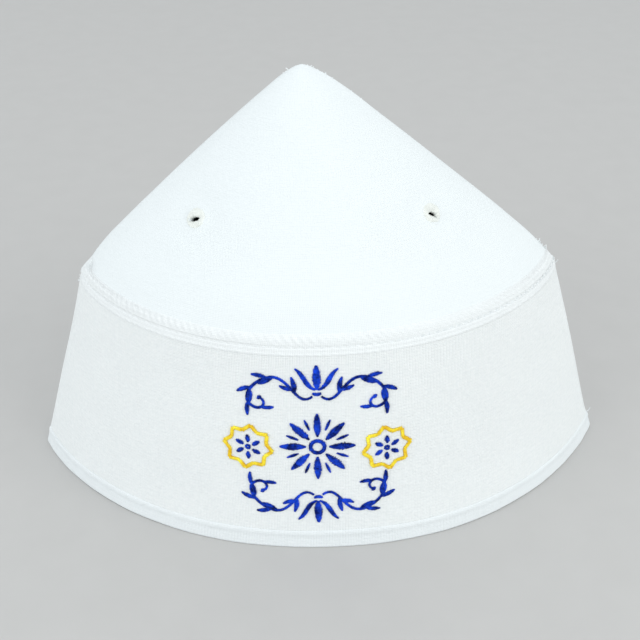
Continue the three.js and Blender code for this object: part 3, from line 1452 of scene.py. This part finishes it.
@dataclass
class VentEyelet:
    """The bound edge of a vent: thread wound over the edge of the cloth.

    Attributes:
        shape: The cap's form.
        vent: The vent.
        slit: The opening that is left.
        outer: Outer radius of the binding.
        cloth: Thickness of the cloth inside it.
        cover: Thickness of the thread on each face.
        turns: How many turns the thread makes round the ring.
        ridge: Height of a turn of the thread.
        spread: How unevenly far out the turns reach.
        inner_spread: How unevenly they cover the slit's edge, as a share.
        proud: How far the cloth inside it stands out of the crown.
        section_steps: Spaces round its section.
        turn_steps: Spaces along it for each turn of the thread.
    """

    shape: CapShape
    vent: Vent
    slit: Slit
    outer: float = 3.7 * MM
    cloth: float = 1.8 * MM
    cover: float = 0.3 * MM
    turns: int = 42
    ridge: float = 0.12 * MM
    spread: float = 0.1 * MM
    inner_spread: float = 0.09
    proud: float = 0.1 * MM
    section_steps: int = 24
    turn_steps: int = 8

    def build(self) -> None:
        """Makes the binding.

        Its section is a long oval from the slit's edge to the outer edge, squared by the powers
        0.75 and 0.6 of its cosine and sine. At the slit it is 0.72 as thick as at the outside. Over
        it the winding stands up as |cos| of half the turns times the angle round the ring, slanted
        along the section.
        """
        normal = self.shape.normal(*self.vent.at)
        middle = self.shape.face(*self.vent.at) - normal * (self.cloth / 2 - self.proud)
        side = unit(np.cross([0.0, 0.0, 1.0], normal))
        up = np.cross(normal, side)
        section, ring = np.meshgrid(
            np.linspace(0, math.tau, self.section_steps + 1),
            np.linspace(0, math.tau, self.turn_steps * self.turns + 1),
            indexing="ij",
        )
        rng = np.random.default_rng(RNG_SEED + round(1000 * self.vent.angle))
        knots = np.linspace(0, math.tau, self.turns, endpoint=False)
        uneven = np.interp(ring, knots, rng.normal(0, 1, self.turns), period=math.tau)
        ridge = self.ridge * np.abs(np.cos(self.turns / 2 * ring + 0.5 * np.sin(section)))
        inner = self.slit.edge(ring) * (1 + self.inner_spread * uneven)
        outer = (self.outer + ridge + self.spread * uneven) * circle(ring, 0)
        share = (1 - signed_power(np.cos(section), 0.75)) / 2
        flat = between(inner, outer, share)
        half_height = (self.cloth / 2 + self.cover) * (0.72 + 0.28 * share) + ridge
        height = half_height * signed_power(np.sin(section), 0.6)
        grid = middle + flat[0][..., None] * side + flat[1][..., None] * up + height[..., None] * normal
        grid[-1], grid[:, -1] = grid[0], grid[:, 0]
        uv = np.stack([section * MM, ring * self.outer], -1)
        patches = Patchwork()
        patches.add(grid[::-1], uv[::-1])
        place_piece(patches.mesh(self.vent.node + "_binding"), Look.BINDING, self.vent.node)


# Embroidery


def bend(points: Sequence[tuple[float, float]], count: int = 40) -> Array:
    """A cubic Bezier curve from the first of four points to the last.

    Args:
        points: The four points; the middle two draw the curve towards them.
        count: How many points the curve has.

    Returns:
        The curve's points.
    """
    first, second, third, last = np.array(points, float)
    share = np.linspace(0, 1, count)[:, None]
    rest = 1 - share
    return rest**3 * first + 3 * rest**2 * share * second + 3 * rest * share**2 * third + share**3 * last


@dataclass(frozen=True)
class Stroke:
    """A stroke of satin stitch in the flat plan of the embroidery, in millimetres.

    Attributes:
        path: Points along its middle.
        half_width: Half its width at each point.
    """

    path: Array
    half_width: Array

    @classmethod
    def along(cls, path: Array, width: float, ends: float = 0.35, power: float = 0.5) -> "Stroke":
        """A stroke whose width swells from its ends to its middle.

        Args:
            path: Points along its middle.
            width: Its full width in the middle.
            ends: Share of the width that it keeps at its ends.
            power: How soon it reaches its width.

        Returns:
            The stroke.
        """
        share = np.linspace(0, 1, len(path))
        return cls(path, width / 2 * (ends + (1 - ends) * np.sin(math.pi * share) ** power))

    @classmethod
    def leaf(cls, root: Array, heading: float, length: float, width: float, curve: float) -> "Stroke":
        """A curved leaf: its middle line bends aside as the square of its share.

        Args:
            root: Where it starts.
            heading: Its direction, in radians.
            length: How long it is.
            width: How wide it is.
            curve: How far its tip is bent to the left, as a share of its length.

        Returns:
            The leaf.
        """
        ahead = circle(heading)
        aside = np.array([-ahead[1], ahead[0]])
        share = np.linspace(0, 1, 24)[:, None]
        path = root + length * (ahead * share + aside * curve * share**2)
        return cls.along(path, width, ends=0.12, power=0.75)

    def turned(self, degrees: float) -> "Stroke":
        """The stroke turned about the origin."""
        c, s = math.cos(math.radians(degrees)), math.sin(math.radians(degrees))
        return Stroke(self.path @ np.array([[c, s], [-s, c]]), self.half_width)

    def moved(self, x: float, y: float) -> "Stroke":
        """The stroke moved."""
        return Stroke(self.path + (x, y), self.half_width)

    def mirrored(self, x: int, y: int) -> "Stroke":
        """The stroke with its signs turned along X, along Y or along both."""
        return Stroke(self.path * (x, y), self.half_width)


@dataclass
class Embroidery:
    """Ornament in satin stitch on the front of the band.

    It is laid out flat, in millimetres from its centre, and wrapped on the band's face: two leafy
    sprays with a tulip each, above and below a rosette, and a star with a floret on either side.

    Attributes:
        shape: The cap's form.
        centre_x: Its centre's distance from the cap's middle.
        centre_height: Its centre's height.
        star_aside: Distance from the centre to a star's, sideways.
        star_below: How far the left and the right star's centre lie below the centre.
        star_radius: Distance from a star's centre to its points.
        star_width: Width of its outline.
        star_turn: How far a star is turned, in degrees.
        pitch: Distance from thread to thread, in millimetres.
        thread: Radius of a thread.
        flat: Share of a thread's thickness that is left.
        slant: How far a thread leans along its stroke, as a share of its way across.
        width_spread: How unevenly wide the strokes are sewn, as a share.
        over: How far a thread reaches past the stroke's edge, in millimetres.
        arch: How high a thread stands on the cloth, at the least.
        arch_share: How much higher it stands, as a share of its span.
        arch_spread: How unevenly high the threads stand.
        thread_spread: How unevenly thick the threads are, as a share.
        sunk: How far a thread's ends lie in the cloth.
        splay: Angle between a leaf and the stem, in radians.
        droop: How far a leaf's tip bends back to the stem, as a share of its length.
        leaves: Each leaf's place along the stem as a share, its side, its length and its width.
    """

    shape: CapShape
    centre_x: float = -2.6 * MM
    centre_height: float = 44.3 * MM
    star_aside: float = 25.2
    star_below: tuple[float, float] = (1.2, 2.4)
    star_radius: float = 9.0
    star_width: float = 1.48
    star_turn: float = 8.0
    pitch: float = 0.4
    thread: float = 0.27 * MM
    flat: float = 0.75
    slant: float = 0.28
    width_spread: float = 0.08
    over: float = 0.06
    arch: float = 0.2 * MM
    arch_share: float = 0.12
    arch_spread: float = 0.02 * MM
    thread_spread: float = 0.05
    sunk: float = 0.06 * MM
    splay: float = 0.73
    droop: float = 0.2
    leaves: tuple[tuple[float, int, float, float], ...] = (
        (0.17, 1, 6.2, 2.0),
        (0.20, -1, 4.6, 1.6),
        (0.36, -1, 6.0, 1.9),
        (0.40, 1, 5.4, 1.8),
        (0.55, 1, 5.6, 1.8),
        (0.57, -1, 5.0, 1.7),
        (0.72, 1, 5.4, 1.8),
        (0.86, 1, 4.4, 1.6),
    )

    def wrapped(self, flat: Array, proud: Array) -> tuple[Array, Array]:
        """Wraps flat points on the band.

        The flat x is the distance round the face at the centre's height, and the flat y the
        distance up it; a point keeps its x along the cap at every height.

        Args:
            flat: Points in millimetres, with the last axis X, Y.
            proud: How far each stands out of the face.

        Returns:
            Places and the face's normals there.
        """
        centre = self.centre_height / self.shape.band_rise
        row = self.shape.bare(np.linspace(math.pi, math.tau, 2001), centre)
        length = travelled(row)
        length -= np.interp(self.centre_x, row[:, 0], length)
        x = np.interp(flat[..., 0] * MM, length, row[:, 0])
        level = centre + flat[..., 1] * MM / self.shape.band_slant
        angle = self.shape.front_angle(x, level)
        return self.shape.face(angle, level, proud), self.shape.normal(angle, level)

    def crossings(self, stroke: Stroke, rng: np.random.Generator) -> tuple[Array, Array]:
        """Lays threads side by side across a stroke, on a slant.

        Args:
            stroke: The stroke.
            rng: The source of their unevenness.

        Returns:
            Where they start and where they end, in the flat plan.
        """
        length = travelled(stroke.path)
        count = max(int(length[-1] / self.pitch), 2)
        at = middles(length[-1], count)
        middle = np.stack([np.interp(at, length, stroke.path[:, axis]) for axis in (0, 1)], -1)
        ahead = unit(np.gradient(middle, axis=0))
        uneven = 1 + rng.normal(0, self.width_spread, count)
        half = np.interp(at, length, stroke.half_width) * uneven + self.over
        across = np.stack([-ahead[:, 1], ahead[:, 0]], -1) + self.slant * ahead
        return middle - across * half[:, None], middle + across * half[:, None]

    def sewn(self, name: str, look: Look, strokes: Sequence[Stroke]) -> None:
        """Sews strokes as threads that arch from one edge to the other, and places them as a piece.

        Args:
            name: The piece's name.
            look: Its finish.
            strokes: The strokes.
        """
        rng = np.random.default_rng(RNG_SEED + len(name))
        start, end = np.concatenate([self.crossings(stroke, rng) for stroke in strokes], axis=1)
        share = np.linspace(-1, 1, 7)
        flat = (start[:, None] + end[:, None]) / 2 + (end - start)[:, None] / 2 * share[:, None]
        span = np.linalg.norm(end - start, axis=-1)[:, None] * MM
        uneven = rng.normal(0, self.arch_spread, (len(start), 1))
        arch = (self.arch + self.arch_share * span) * np.sqrt(1 - share**4) + uneven
        path, normal = self.wrapped(flat, arch - self.sunk)
        thickness = 1 + rng.normal(0, self.thread_spread, (len(start), 1))
        radius = self.thread * np.sqrt(1 - share**6) * thickness
        patches = Patchwork()
        patches.add(*tubes(path, normal, radius, self.flat, sides=6))
        place_piece(patches.mesh(name), look)

    def spray(self) -> list[Stroke]:
        """The right half of a spray: a stem that waves out, curls in and bears leaves.

        Returns:
            Its strokes.
        """
        rise = bend([(1.6, 20.6), (7.5, 15.2), (9.5, 30.5), (17.5, 27.4)], count=60)
        fall = bend([(17.5, 27.4), (23.6, 25.0), (27.8, 17.6), (22.2, 15.4)], count=60)
        curl = bend([(22.2, 15.4), (19.0, 14.3), (17.4, 18.3), (20.4, 19.4)], count=30)
        stem = np.concatenate([rise, fall[1:], curl[1:]])
        bud = bend([(19.7, 19.4), (20.1, 19.4), (20.7, 19.4), (21.1, 19.4)], count=8)
        strokes = [
            Stroke.along(stem, width=1.1, ends=0.55, power=0.3),
            Stroke.along(bud, width=1.7, ends=0.5),
        ]
        ahead = np.gradient(stem, axis=0)
        for share, way, length, width in self.leaves:
            at = int(share * len(stem))
            heading = math.atan2(ahead[at, 1], ahead[at, 0]) + way * self.splay
            strokes.append(Stroke.leaf(stem[at], heading, length, width, -way * self.droop))
        return strokes

    @staticmethod
    def tulip(foot: float, size: float) -> list[Stroke]:
        """A tulip of three petals over a small calyx.

        Args:
            foot: Height of the petals' foot above the centre.
            size: The middle petal's length.

        Returns:
            Its strokes.
        """
        petal = bend([(0, foot), (0, foot + size / 3), (0, foot + size / 1.5), (0, foot + size)])
        wing = bend([
            (0.5, foot),
            (0.45 * size, foot + 0.15 * size),
            (0.42 * size, foot + 0.6 * size),
            (0.78 * size, foot + 0.86 * size),
        ])
        calyx = bend([(-1.5, foot - 1.3), (-0.6, foot - 2), (0.6, foot - 2), (1.5, foot - 1.3)])
        middle = Stroke.along(petal, width=0.32 * size, ends=0.15, power=0.7)
        side = Stroke.along(wing, width=0.2 * size, ends=0.15, power=0.7)
        return [middle, side, side.mirrored(-1, 1), Stroke.along(calyx, width=1.3)]

    @staticmethod
    def petals(count: int, inner: float, outer: float, width: float, turn: float = 0.0) -> list[Stroke]:
        """Petals that point outwards round the origin.

        Args:
            count: How many there are.
            inner: Radius at which a petal starts.
            outer: Radius at which it ends.
            width: Its width.
            turn: The first one's turn from upright, in degrees.

        Returns:
            The petals.
        """
        reach = np.linspace(inner, outer, 30)
        petal = Stroke.along(np.stack([0 * reach, reach], -1), width, ends=0.1, power=0.8)
        return [petal.turned(360 * step / count + turn) for step in range(count)]

    @staticmethod
    def hoop(radius: float, width: float) -> Stroke:
        """A closed ring of satin stitch about the origin."""
        turn = np.linspace(0, math.tau, 60)
        return Stroke(radius * circle(turn), np.full(len(turn), width / 2))

    def star(self) -> list[Stroke]:
        """The outline of a star of eight points: two squares, one turned by an eighth.

        Its corners lie in turn on the points' radius and on that times cos(45) / cos(22.5), where
        the squares cross.

        Returns:
            A stroke for each of its sixteen sides, about the origin.
        """
        corners = np.arange(17)
        turn = np.radians(22.5 * corners + 90)
        dip = math.cos(math.radians(45)) / math.cos(math.radians(22.5))
        radius = self.star_radius * np.where(corners % 2 == 0, 1, dip)
        points = radius[:, None] * circle(turn)
        share = np.linspace(0, 1, 12)[:, None]
        half_width = np.full(len(share), self.star_width / 2)
        return [Stroke(between(start, end, share), half_width) for start, end in zip(points, points[1:])]

    def build(self) -> None:
        """Makes the sprays, the rosette, the stars and the florets, each as a piece."""
        half = self.spray()
        tulip = self.tulip(foot=23.2, size=9.6)
        spray = [*half, *(stroke.mirrored(-1, 1) for stroke in half), *tulip]
        self.sewn("embroidery_spray_above", Look.BLUE, spray)
        self.sewn("embroidery_spray_below", Look.BLUE, [stroke.mirrored(1, -1) for stroke in spray])
        broad = self.petals(8, inner=4.2, outer=13.6, width=3.0)
        narrow = self.petals(8, inner=7.4, outer=12.0, width=1.1, turn=22.5)
        self.sewn("embroidery_rosette", Look.BLUE, [*broad, *narrow, self.hoop(radius=2.5, width=1.5)])
        floret = [*self.petals(6, inner=1.9, outer=5.0, width=1.9), self.hoop(radius=0.7, width=0.8)]
        for name, way, below in zip(("left", "right"), (-1, 1), self.star_below):
            place = way * self.star_aside, -below
            star = [stroke.turned(way * self.star_turn).moved(*place) for stroke in self.star()]
            self.sewn("embroidery_star_" + name, Look.YELLOW, star)
            self.sewn("embroidery_floret_" + name, Look.BLUE, [stroke.moved(*place) for stroke in floret])


# Loose ends of thread


@dataclass(frozen=True)
class Whisker:
    """A loose end of thread, which stands off the cloth as it is seen from the front.

    Attributes:
        angle: Its root round the plan, in degrees.
        level: Its root's level.
        length: Its length.
        heading: Its direction, in degrees up from the right.
        curl: How much it curls, in degrees.
    """

    angle: float
    level: float
    length: float
    heading: float
    curl: float


@dataclass(frozen=True)
class Fray:
    """A worn stretch of a crease, with short ends of thread.

    Attributes:
        angle: The crease, in degrees round the plan.
        low: Level of its lower end.
        high: Level of its upper end.
        heading: The ends' middle direction, in degrees up from the right.
        count: How many ends there are.
        reach: The longest end's length.
        shortest: The shortest end's length, as a share of that.
        spread: How far the ends lie aside of the crease, in degrees round the plan.
        turn_spread: How far their directions differ, in degrees.
        curl_spread: How much they curl either way, in degrees.
    """

    angle: float
    low: float
    high: float
    heading: float
    count: int
    reach: float = 1.1 * MM
    shortest: float = 0.45
    spread: float = 2.0
    turn_spread: float = 35.0
    curl_spread: float = 50.0

    def whiskers(self, rng: np.random.Generator) -> list[Whisker]:
        """The stretch's ends, spread and turned at random.

        Args:
            rng: The source of the random numbers.

        Returns:
            The ends.
        """
        return [
            Whisker(
                self.angle + rng.normal(0, self.spread),
                rng.uniform(self.low, self.high),
                rng.uniform(self.shortest, 1) * self.reach,
                self.heading + rng.normal(0, self.turn_spread),
                rng.normal(0, self.curl_spread),
            )
            for _ in range(self.count)
        ]


@dataclass
class LooseThreads:
    """The loose ends at the creases and the peak.

    Attributes:
        shape: The cap's form.
        radius: Radius of the thread.
        root: How far an end's root lies in the cloth.
        sway: How far an end sways to the front and back, as a share of its way.
        whiskers: Its longer ends.
        frays: Its worn stretches.
    """

    shape: CapShape
    radius: float = 0.17 * MM
    root: float = 0.25 * MM
    sway: float = 0.35
    whiskers: tuple[Whisker, ...] = (
        Whisker(0, 1.066, 1.8 * MM, 62, 30),
        Whisker(0, 1.035, 2.1 * MM, 75, 25),
        Whisker(0, 0.975, 2.0 * MM, 15, 45),
        Whisker(0, 0.09, 3.0 * MM, 20, 60),
        Whisker(180, 1.945, 1.6 * MM, 100, 60),
    )
    frays: tuple[Fray, ...] = (
        Fray(0, 0.99, 1.085, 45, 22),
        Fray(180, 0.94, 0.99, 165, 6),
        Fray(180, 1.9, 1.97, 120, 5),
        Fray(0, 1.9, 1.98, 60, 4),
        Fray(0, 0.05, 0.1, 20, 3),
        Fray(0, 1.1, 1.98, 45, 90, 0.55 * MM),
        Fray(180, 1.05, 1.98, 135, 90, 0.55 * MM),
    )

    def build(self) -> None:
        """Makes the ends, each a path of equal steps that turns as it goes."""
        rng = np.random.default_rng(RNG_SEED)
        ends = list(self.whiskers)
        for fray in self.frays:
            ends += fray.whiskers(rng)
        share = np.linspace(0, 1, 12)
        angle, level, reach, heading, curl = np.array([astuple(end) for end in ends]).T
        roots = self.shape.face(np.radians(angle), level, -self.root)
        turn = np.radians(heading[:, None] + curl[:, None] * share)
        sway = self.sway * np.sin(3 * share + angle[:, None])
        step = np.stack([np.cos(turn), sway, np.sin(turn)], -1)
        paths = roots[:, None] + np.cumsum(step, axis=1) * reach[:, None, None] / len(share)
        normals = np.broadcast_to([0.0, 1.0, 0.0], paths.shape)
        radius = self.radius * np.sqrt(1 - (2 * share - 1) ** 12)
        patches = Patchwork()
        patches.add(*tubes(paths, normals, radius, flat=1.0, sides=6))
        place_piece(patches.mesh("loose_threads"), Look.SEWING)


# Lights, floor and camera


@dataclass(frozen=True)
class Lamp:
    """A soft square lamp.

    Attributes:
        name: Its name.
        place: Where it hangs.
        power: Its power in watts.
        tint: Its colour.
        size: Its width.
    """

    name: str
    place: Triple
    power: float
    tint: Colour
    size: float = 1.0


@dataclass
class Studio:
    """The floor, the lights and the camera.

    Attributes:
        lens: Focal length.
        distance: From the camera to the point it looks at.
        aim: That point.
        azimuth: The camera's turn about the cap, in degrees to the right.
        elevation: Its height above the horizon, in degrees.
        roll: Its turn about its own line of sight, in degrees.
        lamps: The lamps.
        sky: Colour of the light from all round.
        sky_strength: Its strength.
        floor_reach: Half the floor's width.
        floor_tones: The floor's darkest and lightest colour.
    """

    lens: float = 56.25
    distance: float = 401.7 * MM
    aim: Triple = (0.44 * MM, 0.0, 57.9 * MM)
    azimuth: float = -1.61
    elevation: float = 32.7
    roll: float = -0.53
    lamps: tuple[Lamp, ...] = (
        Lamp("key", (0.9, -0.75, 0.6), 5.6, (1.0, 0.995, 0.98)),
        Lamp("fill", (-1.0, -0.75, 0.5), 4.9, (0.97, 0.985, 1.0)),
    )
    sky: Colour = (0.93, 0.965, 0.985)
    sky_strength: float = 0.98
    floor_reach: float = 6.0
    floor_tones: tuple[Colour, Colour] = ((0.5, 0.495, 0.485), (0.53, 0.525, 0.515))

    def camera(self) -> None:
        """Puts the camera at the photograph's angle."""
        spin = Matrix.Rotation(math.radians(self.azimuth), 3, "Z")
        roll = Matrix.Rotation(math.radians(self.roll), 3, "Z")
        tilt = math.radians(self.elevation)
        back = spin @ Vector((0, -math.cos(tilt), math.sin(tilt)))
        camera = bpy.data.objects.new("camera", bpy.data.cameras.new("camera"))
        camera.data.lens = self.lens
        camera.data.clip_start, camera.data.clip_end = 0.01, 50.0
        camera.location = spin @ Vector(self.aim) + back * self.distance
        camera.rotation_euler = (back.to_track_quat("Z", "Y").to_matrix() @ roll).to_euler()
        bpy.context.scene.collection.objects.link(camera)
        bpy.context.scene.camera = camera

    def hang(self, lamp: Lamp) -> None:
        """Hangs a lamp, turned to face the cap.

        Args:
            lamp: The lamp.
        """
        light = bpy.data.lights.new(lamp.name, "AREA")
        light.size, light.energy, light.color = lamp.size, lamp.power, lamp.tint
        hung = bpy.data.objects.new(lamp.name, light)
        hung.location = lamp.place
        hung.rotation_euler = (Vector(lamp.place) - Vector(self.aim)).to_track_quat("Z", "Y").to_euler()
        bpy.context.scene.collection.objects.link(hung)

    def floor(self) -> None:
        """Lays a plain pale floor under the cap."""
        half = self.floor_reach
        corners = [(-half, -half, 0), (half, -half, 0), (half, half, 0), (-half, half, 0)]
        mesh = bpy.data.meshes.new("floor")
        mesh.from_pydata(corners, [], [range(4)])
        graph = ShaderGraph("floor")
        grain = graph.noise(graph.wire("TexCoord", output="Object"), scale=60.0, detail=3.0)
        tone = graph.mixed(grain, *self.floor_tones)
        mesh.materials.append(graph.surface(base_color=tone, roughness=0.7))
        floor = bpy.data.objects.new("floor", mesh)
        bpy.context.scene.collection.objects.link(floor)

    def build(self) -> None:
        """Sets up the whole studio."""
        scene = bpy.context.scene
        scene.world = bpy.data.worlds.new("studio")
        scene.world.use_nodes = True
        sky = scene.world.node_tree.nodes["Background"]
        sky.inputs["Color"].default_value = (*self.sky, 1.0)
        sky.inputs["Strength"].default_value = self.sky_strength
        scene.view_settings.view_transform = "Standard"
        self.floor()
        for lamp in self.lamps:
            self.hang(lamp)
        self.camera()


def main() -> None:
    """Builds the cap and its studio, and logs the number of faces of each piece."""
    logging.basicConfig(level=logging.INFO, format="%(name)s: %(message)s")
    shape = CapShape.from_frame()
    nodes = [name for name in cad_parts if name.startswith("eyelet")]
    vents = [Vent.find(shape, node) for node in sorted(nodes)]
    Hem(shape).build()
    Band(shape).build()
    Welt(shape).build()
    Crown(shape, vents).build()
    for vent in vents:
        VentEyelet(shape, vent, SLITS.get(vent.node, Slit())).build()
    Embroidery(shape).build()
    LooseThreads(shape).build()
    Studio().build()


if __name__ == "__main__":
    main()
